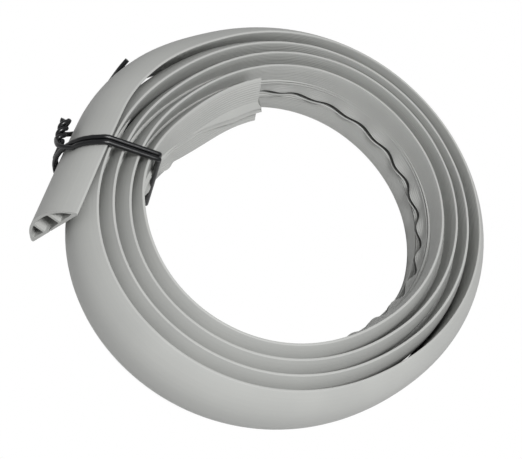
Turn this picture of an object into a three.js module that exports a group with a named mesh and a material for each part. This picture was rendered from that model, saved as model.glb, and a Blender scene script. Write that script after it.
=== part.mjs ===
// A roll of soft self-adhesive wiring duct, coiled up on its edge for sale and held by a wire tie.
// The duct is one long extrusion: a flat base with three cells under a low dome, and a slit
// along the base that opens so that cables can be pressed in. Millimetres, +Z up.
import * as THREE from 'three';
import { mergeVertices } from 'three/addons/utils/BufferGeometryUtils.js';

// Duct section: across runs from the lower edge to the upper one, height from base to dome
const ductWidth = 30;
const ductHeight = 7.5;
const wall = 1.1;
const floorTop = wall + 0.05;
const lipWall = 0.9;
const edgeHeight = 0.9;
const domeFullness = 2.4;
const lowerWebPlace = 9.3;
const upperWebPlace = 19.5;
const cellCorner = 2;
const slitPlace = 11.8;
const slitGap = 0.5;

// Coil: the base lies on the inside, and the path runs outwards, counter-clockwise from above.
// Each side has its angle in degrees, the radius of the innermost turn there, and the pitch of the turns
const coilSides = [
  { name: 'tied', angle: -192, radius: 52.4, pitch: 5.55 },
  { name: 'near', angle: -103, radius: 66.2, pitch: 6.5 },
  { name: 'right', angle: -17, radius: 55, pitch: 5.55 },
  { name: 'far', angle: 90, radius: 67.4, pitch: 5.9 },
];
const slackBulge = 1.3;
const tiePull = 1.8;
const tiePullAngle = -147;
const tiePullSpread = 20;
const turnGap = 1;
const innerEndAngle = -221;
const leaveAngle = 1276;
const tailLength = 49;

// How the soft duct leans: positive tips the upper edge inwards
const outerLean = 19;
const outerLeanStart = 1165;
const outerLeanFull = 1262;
const innerLean = -9;
const innerLeanEnd = 25;

// The slit's lips buckle into waves on the first turn; at its inner end the upper lip stands open
const wavePitch = 16;
const waveDepth = 1.4;
const waveStart = -172;
const waveEnd = 128;
const flareAngle = 32;
const flareFade = -182;
const flareEnd = -155;
const cutSlant = 2.2;

// Wire tie: plastic-coated wire, wound twice round all the turns, its ends twisted together
const tieAngle = 208.3;
const wireDiameter = 1.8;
const tieClearance = 0.4;
const tieRise = 30;
const rideUp = 3;
const rideOut = 0.4;
const rideSpread = 18;
const rideSqueeze = 1;
const twistPlace = 12;
const twistAside = 4.4;
const twistLength = 12;
const twistPitch = 8;
const strandGap = 0.45;
const tailEndAngle = 171;
const tailTuckAngle = 191;
const bendIn = 0.5;
const bendLevel = 7.5;
const tailUnder = -0.6;
const tailLevel = 1.2;
const tailTipOut = 5;
const tailTipLevel = 15;

const turn = 360;
const radians = THREE.MathUtils.degToRad;
const smooth = THREE.MathUtils.smoothstep;

// The coil is an oval: its radius swings between the sides, and each lap adds the pitch there
function sideRadius(index) {
  const side = coilSides[THREE.MathUtils.euclideanModulo(index, coilSides.length)];
  const lap = Math.floor(index / coilSides.length);
  const bulge = side.name === 'far' && lap === 1 ? slackBulge : 0;
  return { angle: side.angle + lap * turn, radius: side.radius + lap * side.pitch + bulge };
}

function ovalRadius(angle) {
  let index = Math.floor((angle - coilSides[0].angle) / turn) * coilSides.length;
  while (sideRadius(index + 1).angle <= angle) index += 1;
  const from = sideRadius(index);
  const to = sideRadius(index + 1);
  const share = (angle - from.angle) / (to.angle - from.angle);
  const pull = tiePull * Math.exp(-(((angle - tiePullAngle) / tiePullSpread) ** 2));
  return from.radius + (to.radius - from.radius) * (0.5 - 0.5 * Math.cos(Math.PI * share)) + pull;
}

// Past its last narrow side the duct keeps that radius, and then leaves along the tangent
const laps = Math.floor((leaveAngle - coilSides[0].angle) / turn);
const roundStart = coilSides[0].angle + laps * turn;
const tailAngle = THREE.MathUtils.radToDeg(Math.atan(tailLength / ovalRadius(roundStart)));
const outerEndAngle = leaveAngle + tailAngle;
const lastLap = Math.floor((leaveAngle - tieAngle) / turn + 0.5) * turn;

function radiusAt(angle) {
  const near = Math.exp(-(((angle - lastLap - tieAngle) / rideSpread) ** 2));
  const inside = Math.exp(-(((angle - lastLap + turn - tieAngle) / rideSpread) ** 2));
  if (angle <= roundStart) return ovalRadius(angle) + rideOut * near - rideSqueeze * inside;
  const alongTail = Math.max(0, angle - leaveAngle);
  return ovalRadius(roundStart) / Math.cos(radians(alongTail)) + rideOut * near;
}

function planPoint(angle) {
  const radius = radiusAt(angle);
  return new THREE.Vector3(radius * Math.cos(radians(angle)), radius * Math.sin(radians(angle)), 0);
}

// The level direction out of the coil, square to the path
function outwardAt(angle) {
  const step = 0.25;
  const along = planPoint(angle + step).sub(planPoint(angle - step)).normalize();
  return new THREE.Vector3(along.y, -along.x, 0);
}

function leanAt(angle) {
  const outer = outerLean * smooth(angle, outerLeanStart, outerLeanFull);
  const inner = innerLean * (1 - smooth(angle, innerLeanEnd - 45, innerLeanEnd)) * smooth(angle, -205, -170);
  return radians(outer + inner);
}

// All turns rise a little where the tie passes under them, and the last one also over the tie's tail
const tieRoom = wireDiameter + tieClearance;
function riseAt(angle) {
  const offTie = THREE.MathUtils.euclideanModulo(angle - tieAngle + turn / 2, turn) - turn / 2;
  const overTail = smooth(angle - lastLap, tailEndAngle - 25, tailEndAngle);
  const pastTie = 1 - smooth(angle - lastLap, tieAngle, tieAngle + 2 * tieRise);
  return tieRoom * Math.max(Math.exp(-((offTie / tieRise) ** 2)), overTail * pastTie);
}

// The outermost turn rides up on the one inside it where the tie pulls them together
function seatAt(angle) {
  const ride = rideUp * Math.exp(-(((angle - lastLap - tieAngle) / rideSpread) ** 2));
  return riseAt(angle) + ride + edgeHeight * Math.max(0, -Math.sin(leanAt(angle)));
}

function domeBulge(across) {
  return 1 - Math.abs(2 * across / ductWidth - 1) ** domeFullness;
}

function domeHeight(across, height) {
  return edgeHeight + (height - edgeHeight) * domeBulge(across);
}

function baseRadiusAt(angle, level) {
  const lean = leanAt(angle);
  return radiusAt(angle) + (seatAt(angle) + ductWidth * Math.cos(lean) - level) * Math.tan(lean);
}

// Wound turns are pressed flat by the next one; where nothing lies outside, the dome is free
function heightAt(angle) {
  const covered = Math.min(angle, outerEndAngle - turn);
  const heights = [ductHeight];
  for (let across = ductWidth / 2; across < ductWidth; across += ductWidth / 12) {
    const level = seatAt(covered) + across * Math.cos(leanAt(covered));
    const room = baseRadiusAt(covered + turn, level) - baseRadiusAt(covered, level) - turnGap;
    heights.push(edgeHeight + (room - edgeHeight) / domeBulge(across));
  }
  return Math.min(...heights);
}

// How far the slit's lips buckle inwards of the flat base at this angle
function lipOffset(across, angle) {
  const below = across < slitPlace;
  const toWeb = below
    ? (across - lowerWebPlace) / (slitPlace - lowerWebPlace)
    : (upperWebPlace - across) / (upperWebPlace - slitPlace);
  const middleRadius = coilSides[0].radius + coilSides[0].pitch;
  const phase = 2 * Math.PI * radians(angle - waveStart) * middleRadius / wavePitch;
  const waving = smooth(angle, waveStart, waveStart + 8) * (1 - smooth(angle, waveEnd - 8, waveEnd));
  return waveDepth * waving * (0.5 - 0.5 * Math.cos(phase)) * Math.max(0, toWeb);
}

// Puts a point of the section at its place on the wound path
function placePoint(across, height, angle) {
  const full = domeHeight(across, ductHeight);
  const dome = domeHeight(across, heightAt(angle));
  const pressed = height > floorTop ? height - (full - dome) : height;
  const atBase = Math.max(0, 1 - pressed / dome);
  const fromTop = ductWidth - across;
  const aboveSlit = across > slitPlace ? fromTop : 0;
  const flare = radians(flareAngle) * (1 - smooth(angle, flareFade, flareEnd));
  const inward = (lipOffset(across, angle) + aboveSlit * Math.sin(flare)) * atBase;
  const upward = aboveSlit * (1 - Math.cos(flare)) * atBase;
  const outwardBy = pressed - inward;
  const lean = leanAt(angle);
  const slant = cutSlant * (1 - smooth(angle, innerEndAngle, innerEndAngle + 12)) * fromTop / ductWidth;
  const cutAngle = angle + THREE.MathUtils.radToDeg(slant / radiusAt(angle));
  const level = fromTop * Math.sin(lean) + outwardBy * Math.cos(lean);
  const point = planPoint(cutAngle).addScaledVector(outwardAt(angle), level);
  point.z = seatAt(angle) + (across + upward) * Math.cos(lean) + outwardBy * Math.sin(lean);
  return point;
}

// Section outline: base, dome, and the middle cell, which the slit opens
function ductShape() {
  const domeSteps = 8;
  const halfWall = wall / 2;
  const ceiling = (across) => domeHeight(across, ductHeight) - wall;
  const lowerLip = slitPlace - slitGap / 2;
  const upperLip = slitPlace + slitGap / 2;
  const outline = [[upperLip, 0], [ductWidth, 0]];
  for (let step = 0; step <= domeSteps; step += 1) {
    const across = ductWidth * (0.5 + 0.5 * Math.cos(Math.PI * step / domeSteps));
    outline.push([across, domeHeight(across, ductHeight)]);
  }
  outline.push([0, 0], [lowerLip, 0], [lowerLip, lipWall], [lowerWebPlace + halfWall, wall]);
  const middle = [lowerWebPlace + halfWall, (lowerWebPlace + upperWebPlace) / 2, upperWebPlace - halfWall];
  for (const across of middle) outline.push([across, ceiling(across)]);
  outline.push([upperWebPlace - halfWall, wall], [upperLip, lipWall]);
  return new THREE.Shape(outline.map(([x, y]) => new THREE.Vector2(x, y)));
}

// One of the two closed cells beside the webs, from its thin outer corner to its web
function sideCell(webFace, outerEdge) {
  const corner = outerEdge + Math.sign(webFace - outerEdge) * cellCorner;
  const ceiling = (across) => domeHeight(across, ductHeight) - wall;
  const middle = (corner + webFace) / 2;
  const points = [[corner, (wall + ceiling(corner)) / 2], [webFace, wall]];
  points.push([webFace, ceiling(webFace)], [middle, ceiling(middle)]);
  return new THREE.Path(points.map(([x, y]) => new THREE.Vector2(x, y)));
}

// Angles of the section's copies along the path, close together where the lips wave
function pathAngles() {
  const angles = [innerEndAngle];
  const fine = THREE.MathUtils.radToDeg(wavePitch / 4 / (coilSides[0].radius + coilSides[0].pitch));
  const coarse = turn / 26;
  while (angles.at(-1) < outerEndAngle) {
    const here = angles.at(-1);
    const onGrid = (Math.floor(here / coarse + 0.2) + 1) * coarse;
    let next = onGrid;
    if (here < waveStart) next = Math.min(here + coarse / 2, waveStart);
    else if (here < waveEnd) next = here + fine;
    angles.push(Math.min(next, outerEndAngle));
  }
  return angles;
}

function plainGeometry(geometry) {
  geometry.deleteAttribute('normal');
  geometry.deleteAttribute('uv');
  const merged = mergeVertices(geometry, 1e-4);
  merged.computeVertexNormals();
  return merged;
}

function ductGeometry() {
  const shape = ductShape();
  shape.holes.push(sideCell(lowerWebPlace - wall / 2, 0), sideCell(upperWebPlace + wall / 2, ductWidth));
  const angles = pathAngles();
  const steps = angles.length - 1;
  const straight = new THREE.ExtrudeGeometry(shape, { steps, depth: steps, bevelEnabled: false });
  const position = straight.attributes.position;
  for (let index = 0; index < position.count; index += 1) {
    const angle = angles[Math.round(position.getZ(index))];
    const placed = placePoint(position.getX(index), position.getY(index), angle);
    position.setXYZ(index, placed.x, placed.y, placed.z);
  }
  return plainGeometry(straight);
}

// Wire tie. Its plane holds the coil's axis; across the plane the wraps lie side by side
const tieOutward = new THREE.Vector3(Math.cos(radians(tieAngle)), Math.sin(radians(tieAngle)), 0);
const tieSideways = new THREE.Vector3(-tieOutward.y, tieOutward.x, 0);

// Every point of the duct's outline that lies near the tie, as distance from the axis and level
function bundlePoints() {
  const points = [];
  const reach = 4;
  for (let lap = -1; tieAngle + lap * turn < outerEndAngle; lap += 1) {
    for (const offset of [-reach, 0, reach]) {
      for (let across = 0; across <= ductWidth; across += ductWidth / 20) {
        const angle = tieAngle + lap * turn + offset;
        const dome = placePoint(across, domeHeight(across, ductHeight), angle);
        const base = placePoint(across, 0, angle);
        for (const point of [dome, base]) points.push(new THREE.Vector2(point.dot(tieOutward), point.z));
      }
    }
  }
  return points;
}

// The taut wire's centre in the tie plane, in the direction of an angle round the bundle
function wrapPoint(points, around) {
  const facing = new THREE.Vector2(Math.cos(around), Math.sin(around));
  const far = points.reduce((best, point) => (point.dot(facing) > best.dot(facing) ? point : best));
  return far.clone().addScaledVector(facing, wireDiameter / 2 + tieClearance / 2);
}

function inSpace(flat, sideways) {
  const point = tieOutward.clone().multiplyScalar(flat.x).addScaledVector(tieSideways, sideways);
  point.z = flat.y;
  return point;
}

// From its tip, which stands up beside the coil, the tail runs under the duct's lower edge to the twist
function tiedTail() {
  const tipRadius = radiusAt(tailEndAngle + lastLap) + ductWidth * Math.sin(radians(outerLean)) + tailTipOut;
  const tail = [];
  const steps = 10;
  for (let step = 0; step <= steps; step += 1) {
    const angle = tailEndAngle + (tailTuckAngle - tailEndAngle) * step / steps;
    const under = placePoint(0, 0, angle + lastLap).setZ(0).length() + tailUnder;
    const radius = under + (tipRadius - under) * (1 - smooth(angle, tailEndAngle + 4, tailEndAngle + 12));
    const level = tailLevel + (tailTipLevel - tailLevel) * (1 - smooth(angle, tailEndAngle, tailEndAngle + 5.5));
    tail.push(new THREE.Vector3(radius * Math.cos(radians(angle)), radius * Math.sin(radians(angle)), level));
  }
  return tail;
}

// One strand of the twist, which lies along the dome beside the wraps, from the wraps to its far end
function twistStrand(points, phase) {
  const spacing = wireDiameter + strandGap;
  const around = radians(twistPlace);
  const facing = new THREE.Vector2(Math.cos(around), Math.sin(around));
  const level = new THREE.Vector2(-facing.y, facing.x);
  const middle = wrapPoint(points, around).addScaledVector(facing, spacing / 2);
  const strand = [];
  const steps = 18;
  for (let step = 0; step <= steps; step += 1) {
    const turned = phase + 2 * Math.PI * twistLength / twistPitch * step / steps;
    const flat = middle.clone().addScaledVector(facing, spacing / 2 * Math.cos(turned));
    flat.addScaledVector(level, spacing / 2 * Math.sin(turned));
    strand.push(inSpace(flat, -twistAside - twistLength * step / steps));
  }
  return strand;
}

// The wire: its tail, one strand of the twist, two wraps, and the other strand of the twist
function tieGeometry() {
  const points = bundlePoints();
  const spacing = wireDiameter + strandGap;
  const wrapSteps = 40;
  const knotAngle = radians(twistPlace);
  const wraps = [];
  for (let step = 2; step <= 2 * wrapSteps - 2; step += 1) {
    const around = knotAngle + 2 * Math.PI * step / wrapSteps;
    const next = inSpace(wrapPoint(points, around), spacing * (1 - step / wrapSteps));
    const last = wraps.at(-1) ?? next;
    const parts = Math.ceil(last.distanceTo(next) / 3);
    for (let part = 1; part < parts; part += 1) wraps.push(last.clone().lerp(next, part / parts));
    wraps.push(next);
  }
  const lifted = new THREE.Vector2(Math.cos(knotAngle), Math.sin(knotAngle)).multiplyScalar(spacing);
  const over = inSpace(wrapPoint(points, knotAngle + 0.1).add(lifted), 0);
  const into = twistStrand(points, 0).reverse();
  const outOf = twistStrand(points, Math.PI);
  const bend = into[0].clone().addScaledVector(tieSideways, -2).addScaledVector(tieOutward, -bendIn);
  bend.z = bendLevel;
  const route = new THREE.CatmullRomCurve3([...tiedTail(), bend, ...into, over, ...wraps, ...outOf], false, 'centripetal');
  const sides = 8;
  const section = new THREE.Shape();
  for (let side = 0; side < sides; side += 1) {
    const around = 2 * Math.PI * (side + 0.5) / sides;
    const corner = [Math.cos(around) * wireDiameter / 2, Math.sin(around) * wireDiameter / 2];
    if (side === 0) section.moveTo(...corner);
    else section.lineTo(...corner);
  }
  section.closePath();
  const tube = new THREE.ExtrudeGeometry(section, { steps: 260, extrudePath: route, bevelEnabled: false });
  return plainGeometry(tube);
}

// The part stands on the lower edges of the coil, with its origin at the middle of its footprint
const greyPvc = new THREE.MeshStandardMaterial({ color: 0xa6a6a3, roughness: 0.55, metalness: 0 });
const blackPvc = new THREE.MeshStandardMaterial({ color: 0x17181a, roughness: 0.4, metalness: 0 });

const duct = new THREE.Mesh(ductGeometry(), greyPvc);
duct.name = 'duct';
const wireTie = new THREE.Mesh(tieGeometry(), blackPvc);
wireTie.name = 'wire_tie';

const roll = new THREE.Group();
roll.add(duct, wireTie);
const box = new THREE.Box3().setFromObject(roll, true);
const footprint = box.getCenter(new THREE.Vector3()).setZ(box.min.z);
for (const mesh of [duct, wireTie]) mesh.geometry.translate(-footprint.x, -footprint.y, -footprint.z);

export default roll;
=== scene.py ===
import math

import bmesh
import bpy
import numpy as np
from mathutils import Matrix, Vector


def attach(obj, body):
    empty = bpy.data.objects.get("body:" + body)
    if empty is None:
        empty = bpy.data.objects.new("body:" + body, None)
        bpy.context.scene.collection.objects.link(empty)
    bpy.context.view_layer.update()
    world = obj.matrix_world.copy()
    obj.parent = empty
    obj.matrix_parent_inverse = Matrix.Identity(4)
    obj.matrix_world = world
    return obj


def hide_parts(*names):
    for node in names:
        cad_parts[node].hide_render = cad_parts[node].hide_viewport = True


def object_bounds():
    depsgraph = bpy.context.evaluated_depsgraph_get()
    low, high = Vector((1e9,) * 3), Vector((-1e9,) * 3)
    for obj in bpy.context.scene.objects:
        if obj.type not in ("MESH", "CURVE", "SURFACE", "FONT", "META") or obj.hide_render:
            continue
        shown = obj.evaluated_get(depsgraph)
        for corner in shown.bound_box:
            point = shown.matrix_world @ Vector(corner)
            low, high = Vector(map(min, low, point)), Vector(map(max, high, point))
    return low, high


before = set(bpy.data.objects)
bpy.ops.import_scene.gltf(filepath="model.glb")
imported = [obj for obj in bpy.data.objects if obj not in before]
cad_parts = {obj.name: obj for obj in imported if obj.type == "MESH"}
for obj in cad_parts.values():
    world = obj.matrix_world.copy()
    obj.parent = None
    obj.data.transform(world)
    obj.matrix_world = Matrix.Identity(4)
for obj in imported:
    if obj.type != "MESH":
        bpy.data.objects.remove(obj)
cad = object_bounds()

MM = 0.001


def add(tree, kind, *values, named=None, **settings):
    """Adds a node, sets it up, feeds its inputs by place or by name, and returns its first output."""
    node = tree.nodes.new(kind)
    for key, value in settings.items():
        setattr(node, key, value)
    for key, value in [*enumerate(values), *(named or {}).items()]:
        if isinstance(value, bpy.types.NodeSocket):
            tree.links.new(value, node.inputs[key])
        else:
            node.inputs[key].default_value = value
    return node.outputs[0]


def linear(colour):
    """A colour written as sRGB hex, in linear light."""
    parts = [int(colour[place:place + 2], 16) / 255 for place in (1, 3, 5)]
    return [part / 12.92 if part <= 0.04045 else ((part + 0.055) / 1.055) ** 2.4 for part in parts] + [1]


def smooth(value, low, high):
    """An eased step from 0 at low to 1 at high."""
    share = np.clip((value - low) / (high - low), 0, 1)
    return share * share * (3 - 2 * share)


def plain(piece, edge_angle):
    """Turns a piece whose modifier builds it into a plain mesh with outward faces and crisp edges."""
    evaluated = piece.evaluated_get(bpy.context.evaluated_depsgraph_get())
    mesh = bpy.data.meshes.new_from_object(evaluated)
    piece.modifiers.clear()
    piece.data = mesh
    shape = bmesh.new()
    shape.from_mesh(mesh)
    ends = [edge for edge in shape.edges if edge.is_boundary]
    if ends:
        bmesh.ops.triangle_fill(shape, edges=ends, use_beauty=True)
    bmesh.ops.recalc_face_normals(shape, faces=shape.faces)
    shape.to_mesh(mesh)
    shape.free()
    mesh.polygons.foreach_set("use_smooth", [True] * len(mesh.polygons))
    mesh.set_sharp_from_angle(angle=math.radians(edge_angle))


# Camera: above the near side, tipped 38 degrees about its own line of sight, as in the photograph.
# The coil was wound about an axis that stands a little off the middle of its footprint, this far in
# from the far corner of the CAD's box.
axis_inset = Vector((0.0799496, 0.091886, 0))
coil_axis = Vector((cad[1][0], cad[1][1], 0)) - axis_inset
aim = coil_axis + Vector((-0.00518, -0.0001, 0))
camera_distance = 0.499
elevation = math.radians(52.5)
roll = math.radians(38)
back = Vector((0, -math.cos(elevation), math.sin(elevation)))
level_right = Vector((1, 0, 0))
level_up = back.cross(level_right)
camera_right = level_right * math.cos(roll) + level_up * math.sin(roll)
camera_up = level_up * math.cos(roll) - level_right * math.sin(roll)
camera_data = bpy.data.cameras.new("camera")
camera_data.sensor_width = 36
camera_data.lens = 86.3
camera_data.clip_end = 10
camera = bpy.data.objects.new("camera", camera_data)
camera.matrix_world = Matrix.Translation(aim + back * camera_distance) @ Matrix(
    (camera_right, camera_up, back)).transposed().to_4x4()
bpy.context.collection.objects.link(camera)
bpy.context.scene.camera = camera
bpy.context.scene.view_settings.view_transform = "Standard"

# Floor: a plain pale ground under the coil. The eye sees it glowing white, with painted shade in the narrow
# gaps between the turns, where ambient occlusion dims its glow, and the light that it sends back up is that
# of pale paper.
floor_mesh = bpy.data.meshes.new("floor")
half_floor = 3
floor_corners = [(half_floor * x, half_floor * y, 0) for x, y in ((-1, -1), (1, -1), (1, 1), (-1, 1))]
floor_mesh.from_pydata(floor_corners, [], [(0, 1, 2, 3)])
floor = bpy.data.objects.new("floor", floor_mesh)
bpy.context.collection.objects.link(floor)
white_paper = bpy.data.materials.new("white_paper")
white_paper.use_nodes = True
tree = white_paper.node_tree
tree.nodes.clear()
paper = add(tree, "ShaderNodeBsdfDiffuse", linear("#d0d0d0"))
gap_width = 6 * MM
darkest = 0.14
lightest = 0.3
# Painted shade: the floor's glow is darkened by ambient occlusion in the narrow gaps between the turns
between_turns = add(tree, "ShaderNodeAmbientOcclusion", named={"Distance": gap_width}, samples=32)
open_sky = between_turns.node.outputs["AO"]
glow_strength_painted_shade = add(tree, "ShaderNodeMapRange", open_sky, darkest, lightest, 0.0, 1.0)
glow = add(tree, "ShaderNodeEmission", (1, 1, 1, 1), glow_strength_painted_shade)
seen = add(tree, "ShaderNodeLightPath")
mixed = add(tree, "ShaderNodeMixShader", seen, paper, glow)
surface = tree.nodes.new("ShaderNodeOutputMaterial")
tree.links.new(mixed, surface.inputs["Surface"])
floor_mesh.materials.append(white_paper)

# Light: a white room all round, and one broad lamp high over the near side, a little to the right.
world = bpy.data.worlds.new("white_room")
world.use_nodes = True
room = world.node_tree.nodes["Background"]
room.inputs["Color"].default_value = (1, 1, 1, 1)
room.inputs["Strength"].default_value = 0.34
bpy.context.scene.world = world
lamp_data = bpy.data.lights.new("lamp", "AREA")
lamp_data.shape = "DISK"
lamp_data.size = 0.25
lamp_data.energy = 7.9
lamp = bpy.data.objects.new("lamp", lamp_data)
lamp_place = Vector((0.18, -0.27, 0.85))
lamp.location = lamp_place
lamp.rotation_euler = (-lamp_place).to_track_quat("-Z", "Y").to_euler()
bpy.context.collection.objects.link(lamp)

# Duct: one soft PVC extrusion, a flat base under a low dome with three cells, wound four and a
# quarter times on its lower edge. The base's slit opens the middle cell, and its lips wave on the
# first turn, which ends open. The last turn leans over, and its end runs straight.
duct_width = 30
duct_height = 7.5
edge_height = 0.9
dome_fullness = 2.4
wall = 1.1
lip_wall = 0.6
lower_web = 9.3
upper_web = 19.5
slit_place = 11.8
slit_gap = 0.5
cell_corner = 2
corner_radius = 0.28


def bulge(across):
    """How much of the dome's rise there is at a place across the duct, from 0 to 1."""
    return 1 - np.abs(2 * across / duct_width - 1) ** dome_fullness


def dome_at(across, height):
    """The dome's height at a place across a duct that is that high in its middle."""
    return edge_height + (height - edge_height) * bulge(across)


def rounded(corners, radius):
    """A closed outline with its sharp corners rounded, and its nearly straight ones kept."""
    arc_middle = 0.29
    nearly_straight = -0.8
    longest_share = 0.45
    outline = []
    corners = [np.array(corner, float) for corner in corners]
    for index, corner in enumerate(corners):
        before = corners[index - 1] - corner
        after = corners[(index + 1) % len(corners)] - corner
        reach = min(radius, longest_share * np.linalg.norm(before), longest_share * np.linalg.norm(after))
        before = before / np.linalg.norm(before)
        after = after / np.linalg.norm(after)
        if before @ after < nearly_straight:
            outline.append(corner)
            continue
        outline += [
            corner + before * reach,
            corner + (before + after) * reach * arc_middle,
            corner + after * reach,
        ]
    return outline


def ceiling(start, end, count):
    """Points along the underside of the dome."""
    return [(across, dome_at(across, duct_height) - wall) for across in np.linspace(start, end, count)]


# The section, round from the slit's upper lip over the dome to its lower lip and the middle cell;
# the points along the base lie closer together towards the slit, where it bends
half = wall / 2
slit_top = slit_place + slit_gap / 2
slit_foot = slit_place - slit_gap / 2
dome_across = duct_width * (0.5 + 0.5 * np.cos(np.linspace(0, math.pi, 31)))
base_above_slit = (slit_top, 13, 14.3, 15.8, 17.5, upper_web, 22, 25.5, duct_width)
base_below_slit = (0, 4.5, 7.5, lower_web, 10.4, slit_foot)
outer_outline = [(across, 0) for across in base_above_slit]
outer_outline += [(across, dome_at(across, duct_height)) for across in dome_across]
outer_outline += [(across, 0) for across in base_below_slit]
outer_outline += [(slit_foot, lip_wall)]
outer_outline += [(lower_web + half, wall)] + ceiling(lower_web + half, upper_web - half, 8)
outer_outline += [(upper_web - half, wall), (slit_top, lip_wall)]
outlines = [rounded(outer_outline, corner_radius)]
for web_face, corner in ((lower_web - half, cell_corner), (upper_web + half, duct_width - cell_corner)):
    tip = (corner, dome_at(corner, duct_height) / 2)
    outlines.append(rounded([tip, (web_face, wall), *ceiling(web_face, corner, 6)[:-1]], corner_radius))
section_points = np.array([point for outline in outlines for point in outline])
section_edges = []
first = 0
for outline in outlines:
    count = len(outline)
    section_edges += [(first + place, first + (place + 1) % count) for place in range(count)]
    first += count
section_mesh = bpy.data.meshes.new("duct_section")
section_mesh.from_pydata([(x, y, 0) for x, y in section_points], section_edges, [])
section_mesh.attributes.new("across", "FLOAT", "POINT").data.foreach_set("value", section_points[:, 0])
section_mesh.attributes.new("height", "FLOAT", "POINT").data.foreach_set("value", section_points[:, 1])
section = bpy.data.objects.new("duct_section", section_mesh)

# The path's sides: angle in degrees, radius of the innermost turn there, pitch of the turns
coil_sides = [(-192, 52.4, 5.55), (-103, 66.2, 6.5), (-17, 55, 5.55), (90, 67.4, 5.9)]
slack_bulge = 1.3
tie_pull = 1.8
tie_pull_angle = -147
tie_pull_spread = 20
turn_gap = 1
inner_end = -221
leave_angle = 1276
tail_length = 49
tie_angle = 208.3
round_start = -192 + 360 * 4
last_lap = 1080
ride_up = 3
ride_out = 0.4
ride_spread = 18
ride_squeeze = 1
outer_lean = 19
outer_lean_from = 1165
outer_lean_full = 1262
inner_lean = 9
wire_rise = 2.2
wire_rise_spread = 30
tail_from = 146
tail_angle = 171


def coil_side(index):
    """A side's angle and radius, counted on from turn to turn. The second turn bulges there once."""
    angle, radius, pitch = coil_sides[index % 4]
    bulging = slack_bulge if index == 7 else 0
    return angle + index // 4 * 360, radius + index // 4 * pitch + bulging


def oval_radius(angle):
    """The radius of the oval spiral, in mm, at an angle in degrees counted on from turn to turn."""
    place = math.floor((angle - coil_sides[0][0]) / 360) * 4
    while coil_side(place + 1)[0] <= angle:
        place += 1
    (start, near), (end, far) = coil_side(place), coil_side(place + 1)
    share = (angle - start) / (end - start)
    pull = tie_pull * math.exp(-((angle - tie_pull_angle) / tie_pull_spread) ** 2)
    return near + (far - near) * (0.5 - 0.5 * math.cos(math.pi * share)) + pull


outer_end = leave_angle + math.degrees(math.atan(tail_length / oval_radius(round_start)))


def radius_at(angle):
    """The radius of the duct's base along the whole path, with its straight outer end."""
    near = math.exp(-((angle - last_lap - tie_angle) / ride_spread) ** 2)
    inside = math.exp(-((angle - last_lap + 360 - tie_angle) / ride_spread) ** 2)
    if angle <= round_start:
        return oval_radius(angle) + ride_out * near - ride_squeeze * inside
    along_tail = max(0, angle - leave_angle)
    return oval_radius(round_start) / math.cos(math.radians(along_tail)) + ride_out * near


def heading(angle):
    """The level direction at an angle in degrees."""
    return np.array((math.cos(math.radians(angle)), math.sin(math.radians(angle))))


def plan_point(angle):
    """The point of the path seen from above."""
    return radius_at(angle) * heading(angle)


def outward_at(angle):
    """The level direction out of the coil, square to the path."""
    along = plan_point(angle + 0.25) - plan_point(angle - 0.25)
    return np.array((along[1], -along[0])) / np.linalg.norm(along)


def lean_at(angle):
    """How far the duct leans: the last turn in at its top, the first one out."""
    outer = outer_lean * smooth(angle, outer_lean_from, outer_lean_full)
    inner = -inner_lean * (1 - smooth(angle, -20, 25)) * smooth(angle, -205, -170)
    return math.radians(outer + inner)


def seat_at(angle):
    """How high the lower edge stands: over the tie's wire, over its tail, and on its neighbour."""
    off_tie = (angle - tie_angle + 180) % 360 - 180
    here = angle - last_lap
    over_tail = smooth(here, tail_from, tail_angle) * (1 - smooth(here, tie_angle, tie_angle + 60))
    rise = wire_rise * max(math.exp(-(off_tie / wire_rise_spread) ** 2), over_tail)
    ride = ride_up * math.exp(-((here - tie_angle) / ride_spread) ** 2)
    return rise + ride + edge_height * max(0, -math.sin(lean_at(angle)))


def base_radius(angle, level):
    """The radius of the leaning base at a level above the ground."""
    lean = lean_at(angle)
    return radius_at(angle) + (seat_at(angle) + duct_width * math.cos(lean) - level) * math.tan(lean)


def height_at(angle):
    """How high the dome is: pressed flat by the next turn, and free where none lies outside."""
    covered = min(angle, outer_end - 360)
    heights = [duct_height]
    for across in np.arange(duct_width / 2, duct_width, duct_width / 12):
        level = seat_at(covered) + across * math.cos(lean_at(covered))
        spare = base_radius(covered + 360, level) - base_radius(covered, level) - turn_gap
        heights.append(edge_height + (spare - edge_height) / bulge(across))
    return min(heights)


# Stations along the path, closer together where the lips wave. Angles are in degrees.
wave_start = -172
wave_end = 134
wave_fade = 8
wave_depth = 2.6
wave_length = 13.6
wave_crest = 96
least_parting = 0.8
more_parting = 0.45
open_angle = 32
open_until = -140
open_fully = -205
end_slant = 2.2
end_slant_spread = 12
waving_stride = 1.2
plain_stride = 3
stations = [inner_end]
while stations[-1] < outer_end:
    here = stations[-1]
    stride = waving_stride if here < wave_end + 4 else plain_stride
    stations.append(min(here + math.degrees(stride / radius_at(here)), outer_end))
outward = np.array([outward_at(angle) for angle in stations])
seats = np.array([seat_at(angle) for angle in stations])
plans = np.array([plan_point(angle) for angle in stations]) + np.array(coil_axis[:2]) / MM
angles = np.array(stations)
along = np.concatenate(([0], np.cumsum(np.linalg.norm(np.diff(plans, axis=0), axis=1))))
phase = 2 * math.pi * (angles - wave_crest) / wave_length
strength = 0.75 + 0.25 * np.sin(np.radians(angles * 2.3))
waving = (smooth(angles, wave_start, wave_start + wave_fade)
          * (1 - smooth(angles, wave_end - wave_fade, wave_end)))
turned = 1 - smooth(angles, open_fully, open_until)
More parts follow.
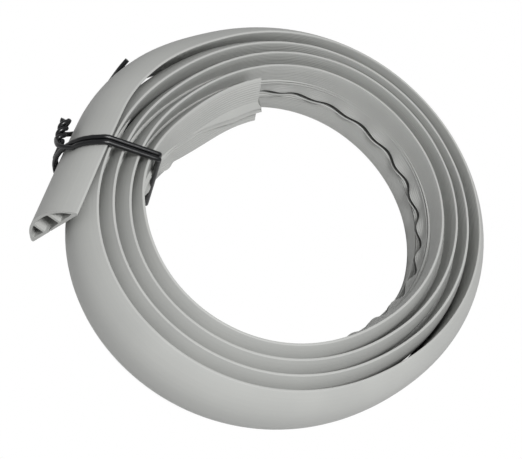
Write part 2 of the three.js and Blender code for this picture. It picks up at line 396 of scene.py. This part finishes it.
station_values = {
    "lean": np.array([lean_at(angle) for angle in stations]),
    "dome": np.array([height_at(angle) for angle in stations]),
    "wave": wave_depth * waving * strength * (0.5 + 0.5 * np.cos(phase)),
    "parting": waving * (least_parting + more_parting * strength * (0.5 + 0.5 * np.cos(phase - 1.2))),
    "flare": math.radians(open_angle) * turned,
    "slant": end_slant * (1 - smooth(angles, inner_end, inner_end + end_slant_spread)),
    "along": along,
}
path_mesh = bpy.data.meshes.new("duct_path")
path_points = np.column_stack((plans, seats))
path_mesh.from_pydata(path_points.tolist(), [(i, i + 1) for i in range(len(stations) - 1)], [])
for name, values in station_values.items():
    path_mesh.attributes.new(name, "FLOAT", "POINT").data.foreach_set("value", values)
path_mesh.attributes.new("place", "FLOAT_VECTOR", "POINT").data.foreach_set("vector", path_points.ravel())
path_mesh.attributes.new("outward", "FLOAT_VECTOR", "POINT").data.foreach_set(
    "vector", np.column_stack((outward, np.zeros(len(stations)))).ravel())
duct = bpy.data.objects.new("duct_looks", path_mesh)
bpy.context.collection.objects.link(duct)

# Soft grey PVC as it leaves the die: satin, drawn into very fine lengthwise lines, and ribbed
# along the base, where the adhesive tape goes.
soft_pvc = bpy.data.materials.new("soft_grey_pvc_satin")
soft_pvc.use_nodes = True
tree = soft_pvc.node_tree
shader = tree.nodes["Principled BSDF"]
across = add(tree, "ShaderNodeAttribute", attribute_name="across").node.outputs["Fac"]
height = add(tree, "ShaderNodeAttribute", attribute_name="height").node.outputs["Fac"]
length = add(tree, "ShaderNodeAttribute", attribute_name="along").node.outputs["Fac"]
drawn = add(tree, "ShaderNodeCombineXYZ", add(tree, "ShaderNodeMath", across, 2.2, operation="MULTIPLY"),
            add(tree, "ShaderNodeMath", length, 0.012, operation="MULTIPLY"), height)
lines = add(tree, "ShaderNodeTexNoise", named={"Vector": drawn, "Scale": 1.0, "Detail": 3.0})
cloud = add(tree, "ShaderNodeTexNoise", named={
    "Vector": add(tree, "ShaderNodeCombineXYZ", across, length, height), "Scale": 0.05, "Detail": 2.0})
on_base = add(tree, "ShaderNodeMath", height, 0.12, operation="LESS_THAN")
ribs = add(tree, "ShaderNodeMath",
           add(tree, "ShaderNodeMath", add(tree, "ShaderNodeMath", across, 6.3, operation="MULTIPLY"),
               operation="SINE"), on_base, operation="MULTIPLY")
tint = add(tree, "ShaderNodeMath", add(tree, "ShaderNodeMath", cloud, 0.6, operation="MULTIPLY"),
           add(tree, "ShaderNodeMath", lines, 0.4, operation="MULTIPLY"), operation="ADD")
darker = linear("#a2a3a1")
lighter = linear("#b1b2af")
shade = add(tree, "ShaderNodeMix", tint, data_type="RGBA", named={6: darker, 7: lighter})
tree.links.new(shade.node.outputs[2], shader.inputs["Base Color"])
relief = add(tree, "ShaderNodeMath", add(tree, "ShaderNodeMath", lines, 0.12, operation="MULTIPLY"),
             add(tree, "ShaderNodeMath", ribs, 0.22, operation="MULTIPLY"), operation="ADD")
bump = add(tree, "ShaderNodeBump", named={"Height": relief, "Strength": 0.5, "Distance": 0.0005})
tree.links.new(bump, shader.inputs["Normal"])
shader.inputs["Roughness"].default_value = 0.5
shader.inputs["IOR"].default_value = 1.53

# The tree sweeps the section along the path and puts each point in its place: pressed dome first,
# then the lips' waves and the open end, then the lean, and last the path itself.
tree = bpy.data.node_groups.new("wound_duct", "GeometryNodeTree")
tree.interface.new_socket("Geometry", in_out="INPUT", socket_type="NodeSocketGeometry")
tree.interface.new_socket("Geometry", in_out="OUTPUT", socket_type="NodeSocketGeometry")
wanted = {
    "Section": ("NodeSocketObject", section),
    "Finish": ("NodeSocketMaterial", soft_pvc),
    "Width": ("NodeSocketFloat", duct_width),
    "Height": ("NodeSocketFloat", duct_height),
    "Edge height": ("NodeSocketFloat", edge_height),
    "Dome fullness": ("NodeSocketFloat", dome_fullness),
    "Floor top": ("NodeSocketFloat", wall + 0.05),
    "Lower web": ("NodeSocketFloat", lower_web),
    "Slit": ("NodeSocketFloat", slit_place),
    "Upper web": ("NodeSocketFloat", upper_web),
    "Lip bend": ("NodeSocketFloat", 1.7),
}
for name, (kind, value) in wanted.items():
    tree.interface.new_socket(name, in_out="INPUT", socket_type=kind)
given = tree.nodes.new("NodeGroupInput").outputs


def calc(operation, *values):
    """One sum in the duct's tree."""
    return add(tree, "ShaderNodeMath", *values, operation=operation)


read = {name: add(tree, "GeometryNodeInputNamedAttribute", name, data_type="FLOAT")
        for name in ("across", "height", *station_values)}
place = add(tree, "GeometryNodeInputNamedAttribute", "place", data_type="FLOAT_VECTOR")
facing = add(tree, "GeometryNodeInputNamedAttribute", "outward", data_type="FLOAT_VECTOR")
sweep_path = add(tree, "GeometryNodeMeshToCurve", given["Geometry"])
profile = add(tree, "GeometryNodeObjectInfo", given["Section"]).node.outputs["Geometry"]
swept = add(tree, "GeometryNodeCurveToMesh", sweep_path, add(tree, "GeometryNodeMeshToCurve", profile))
half_width = calc("MULTIPLY", given["Width"], 0.5)
off_middle = calc("ABSOLUTE", calc("SUBTRACT", calc("DIVIDE", read["across"], half_width), 1.0))
rise = calc("SUBTRACT", 1.0, calc("POWER", off_middle, given["Dome fullness"]))
squashed = calc("MULTIPLY", calc("SUBTRACT", given["Height"], read["dome"]), rise)
above_floor = calc("GREATER_THAN", read["height"], given["Floor top"])
pressed = calc("SUBTRACT", read["height"], calc("MULTIPLY", squashed, above_floor))
dome_here = calc("ADD", given["Edge height"],
                 calc("MULTIPLY", calc("SUBTRACT", read["dome"], given["Edge height"]), rise))
at_base = calc("MAXIMUM", 0.0, calc("SUBTRACT", 1.0, calc("DIVIDE", pressed, dome_here)))
above_slit = calc("GREATER_THAN", read["across"], given["Slit"])
from_lower = calc("DIVIDE", calc("SUBTRACT", read["across"], given["Lower web"]),
                  calc("SUBTRACT", given["Slit"], given["Lower web"]))
from_upper = calc("DIVIDE", calc("SUBTRACT", given["Upper web"], read["across"]),
                  calc("SUBTRACT", given["Upper web"], given["Slit"]))
between_webs = calc("MAXIMUM", 0.0, calc("MINIMUM", from_lower, from_upper))
to_web = calc("POWER", between_webs, given["Lip bend"])
from_top = calc("SUBTRACT", given["Width"], read["across"])
swung = calc("MULTIPLY", from_top, above_slit)
inward = calc("MULTIPLY", at_base, calc("ADD", calc("MULTIPLY", read["wave"], to_web),
                                        calc("MULTIPLY", swung, calc("SINE", read["flare"]))))
side = calc("SUBTRACT", calc("MULTIPLY", above_slit, 2.0), 1.0)
parted = calc("MULTIPLY", calc("MULTIPLY", read["parting"], to_web), side)
lifted = calc("MULTIPLY", swung, calc("SUBTRACT", 1.0, calc("COSINE", read["flare"])))
upward = calc("MULTIPLY", at_base, calc("ADD", lifted, parted))
out_by = calc("SUBTRACT", pressed, inward)
lean_sine = calc("SINE", read["lean"])
lean_cosine = calc("COSINE", read["lean"])
level = calc("ADD", calc("MULTIPLY", from_top, lean_sine), calc("MULTIPLY", out_by, lean_cosine))
stand = calc("ADD", calc("MULTIPLY", calc("ADD", read["across"], upward), lean_cosine),
             calc("MULTIPLY", out_by, lean_sine))
slant = calc("MULTIPLY", read["slant"], calc("DIVIDE", from_top, given["Width"]))
forward = add(tree, "ShaderNodeVectorMath", (0.0, 0.0, 1.0), facing, operation="CROSS_PRODUCT")
moves = [
    add(tree, "ShaderNodeVectorMath", facing, named={"Scale": level}, operation="SCALE"),
    add(tree, "ShaderNodeVectorMath", forward, named={"Scale": slant}, operation="SCALE"),
    add(tree, "ShaderNodeCombineXYZ", 0.0, 0.0, stand),
]
spot = place
for move in moves:
    spot = add(tree, "ShaderNodeVectorMath", spot, move, operation="ADD")
metres = add(tree, "ShaderNodeVectorMath", spot, named={"Scale": MM}, operation="SCALE")
placed = add(tree, "GeometryNodeSetPosition", swept, named={"Position": metres})
real = add(tree, "GeometryNodeRealizeInstances", placed)
finished = add(tree, "GeometryNodeSetMaterial", real, named={"Material": given["Finish"]})
tree.links.new(finished, tree.nodes.new("NodeGroupOutput").inputs["Geometry"])
winding = duct.modifiers.new("wound_duct", "NODES")
winding.node_group = tree
for item in tree.interface.items_tree:
    if item.in_out == "INPUT" and item.name in wanted:
        winding[item.identifier] = wanted[item.name][1]
plain(duct, 32)
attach(duct, "root")
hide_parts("duct")

# Wire tie: black plastic-coated wire. Its tail lies under the duct, two wraps go round all the turns,
# and its two strands are twisted together on the dome beside the wraps.
wire = 1.8
strand_space = wire + 0.45
twist_place = math.radians(12)
twist_aside = 4.4
twist_length = 10
twist_pitch = 6.6
dome_round = 88
wire_slack = 0.2
tail_untuck = 191
tail_reach = 5
tail_foot = 1.2
tail_lift = 13.8
under_duct = 0.6
tie_out = np.array((*heading(tie_angle), 0))
tie_side = np.array((-tie_out[1], tie_out[0], 0))


def duct_point(across, height, angle):
    """A point on the outside of the wound duct, in mm from the coil's axis."""
    pressed_height = height
    if height > wall + 0.05:
        pressed_height = height - (duct_height - height_at(angle)) * bulge(across)
    lean = lean_at(angle)
    reach = (duct_width - across) * math.sin(lean) + pressed_height * math.cos(lean)
    spot = plan_point(angle) + outward_at(angle) * reach
    return np.array((*spot, seat_at(angle) + across * math.cos(lean) + pressed_height * math.sin(lean)))


bundle = []
for lap in range(-1, 4):
    for offset in (-4, 0, 4):
        if tie_angle + lap * 360 >= outer_end:
            continue
        for across_duct in np.linspace(0, duct_width, 21):
            for rise_here in (dome_at(across_duct, duct_height), 0):
                spot = duct_point(across_duct, rise_here, tie_angle + lap * 360 + offset)
                bundle.append((spot @ tie_out, spot[2]))
bundle = np.array(bundle)


def wrap_point(around):
    """The taut wire's centre in the tie's plane, in the direction of an angle round the bundle."""
    towards = np.array((math.cos(around), math.sin(around)))
    return bundle[np.argmax(bundle @ towards)] + towards * (wire / 2 + wire_slack)


def in_space(flat, sideways):
    """A point of the tie's plane, moved sideways out of it."""
    return tie_out * flat[0] + tie_side * sideways + np.array((0, 0, flat[1]))


twist_towards = np.array((math.cos(twist_place), math.sin(twist_place)))


def twist_strand(start):
    """One strand of the twist, from the wraps to its far end."""
    upwards = np.array((-twist_towards[1], twist_towards[0]))
    centre = wrap_point(twist_place) + twist_towards * strand_space / 2
    strand = []
    for share in np.linspace(0, 1, 19):
        swing = start + 2 * math.pi * twist_length / twist_pitch * share
        around = twist_towards * math.cos(swing) + upwards * math.sin(swing)
        flat = centre + around * strand_space / 2
        aside = twist_aside + twist_length * share
        flat[0] -= aside ** 2 / (2 * dome_round)
        strand.append(in_space(flat, -aside))
    return strand


# The wire's whole way: the tail up from its tip and in under the duct, one strand of the twist, the
# two wraps, and the other strand
tip_radius = radius_at(tail_angle + last_lap) + duct_width * math.sin(math.radians(outer_lean)) + tail_reach
wire_points = []
for angle in np.linspace(tail_angle, tail_untuck, 11):
    under = np.linalg.norm(duct_point(0, 0, angle + last_lap)[:2]) - under_duct
    far = under + (tip_radius - under) * (1 - smooth(angle, 175, 183))
    tall = tail_foot + tail_lift * (1 - smooth(angle, tail_angle, 176.5))
    wire_points.append(np.array((*far * heading(angle), tall)))
strand_in = twist_strand(0)[::-1]
bend = strand_in[0] - tie_side * 2 - tie_out * 0.5
bend[2] = 7.5
wire_points += [bend, *strand_in]
over = wrap_point(twist_place + 0.1) + twist_towards * strand_space
wire_points.append(in_space(over, 0))
steps_round = 40
last = None
for step in range(2, 2 * steps_round - 1):
    wraps = step / steps_round
    spot = in_space(wrap_point(twist_place + 2 * math.pi * wraps), strand_space * (1 - wraps))
    if last is not None:
        parts = math.ceil(np.linalg.norm(spot - last) / 3)
        wire_points += [last + (spot - last) * part / parts for part in range(1, parts)]
    wire_points.append(spot)
    last = spot
wire_points += twist_strand(math.pi)
lowest = wire / 2 + 0.6
wire_points = np.array(wire_points)
wire_points[:, 2] = np.maximum(wire_points[:, 2], lowest)
wire_points = wire_points * MM + np.array(coil_axis)
wire_mesh = bpy.data.meshes.new("wire_path")
wire_mesh.from_pydata(wire_points.tolist(), [(i, i + 1) for i in range(len(wire_points) - 1)], [])
wire_tie = bpy.data.objects.new("wire_tie_looks", wire_mesh)
bpy.context.collection.objects.link(wire_tie)

# Black PVC coating, fairly glossy, with the faint unevenness of coated wire
black_pvc = bpy.data.materials.new("black_pvc_coating_gloss")
black_pvc.use_nodes = True
tree = black_pvc.node_tree
shader = tree.nodes["Principled BSDF"]
shader.inputs["Base Color"].default_value = linear("#101113")
shader.inputs["Roughness"].default_value = 0.3
shader.inputs["IOR"].default_value = 1.53
where = add(tree, "ShaderNodeTexCoord").node.outputs["Object"]
uneven = add(tree, "ShaderNodeTexNoise", named={"Vector": where, "Scale": 700.0, "Detail": 2.0})
bump = add(tree, "ShaderNodeBump", named={"Height": uneven, "Strength": 0.25, "Distance": 0.0002})
tree.links.new(bump, shader.inputs["Normal"])

tree = bpy.data.node_groups.new("bent_wire", "GeometryNodeTree")
tree.interface.new_socket("Geometry", in_out="INPUT", socket_type="NodeSocketGeometry")
tree.interface.new_socket("Geometry", in_out="OUTPUT", socket_type="NodeSocketGeometry")
wanted = {
    "Finish": ("NodeSocketMaterial", black_pvc),
    "Wire radius": ("NodeSocketFloat", (wire / 2 + 0.06) * MM),
    "Spacing": ("NodeSocketFloat", 0.5 * MM),
}
for name, (kind, value) in wanted.items():
    tree.interface.new_socket(name, in_out="INPUT", socket_type=kind)
given = tree.nodes.new("NodeGroupInput").outputs
bent = add(tree, "GeometryNodeMeshToCurve", given["Geometry"])
bent = add(tree, "GeometryNodeCurveSplineType", bent, spline_type="CATMULL_ROM")
bent = add(tree, "GeometryNodeResampleCurve", bent, named={"Length": given["Spacing"]}, mode="LENGTH")
round_wire = {"Resolution": 14, "Radius": given["Wire radius"]}
ring = add(tree, "GeometryNodeCurvePrimitiveCircle", named=round_wire)
tube = add(tree, "GeometryNodeCurveToMesh", bent, ring, named={"Fill Caps": True})
real = add(tree, "GeometryNodeRealizeInstances", tube)
finished = add(tree, "GeometryNodeSetMaterial", real, named={"Material": given["Finish"]})
tree.links.new(finished, tree.nodes.new("NodeGroupOutput").inputs["Geometry"])
bending = wire_tie.modifiers.new("bent_wire", "NODES")
bending.node_group = tree
for item in tree.interface.items_tree:
    if item.in_out == "INPUT" and item.name in wanted:
        bending[item.identifier] = wanted[item.name][1]
plain(wire_tie, 40)
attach(wire_tie, "root")
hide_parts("wire_tie")
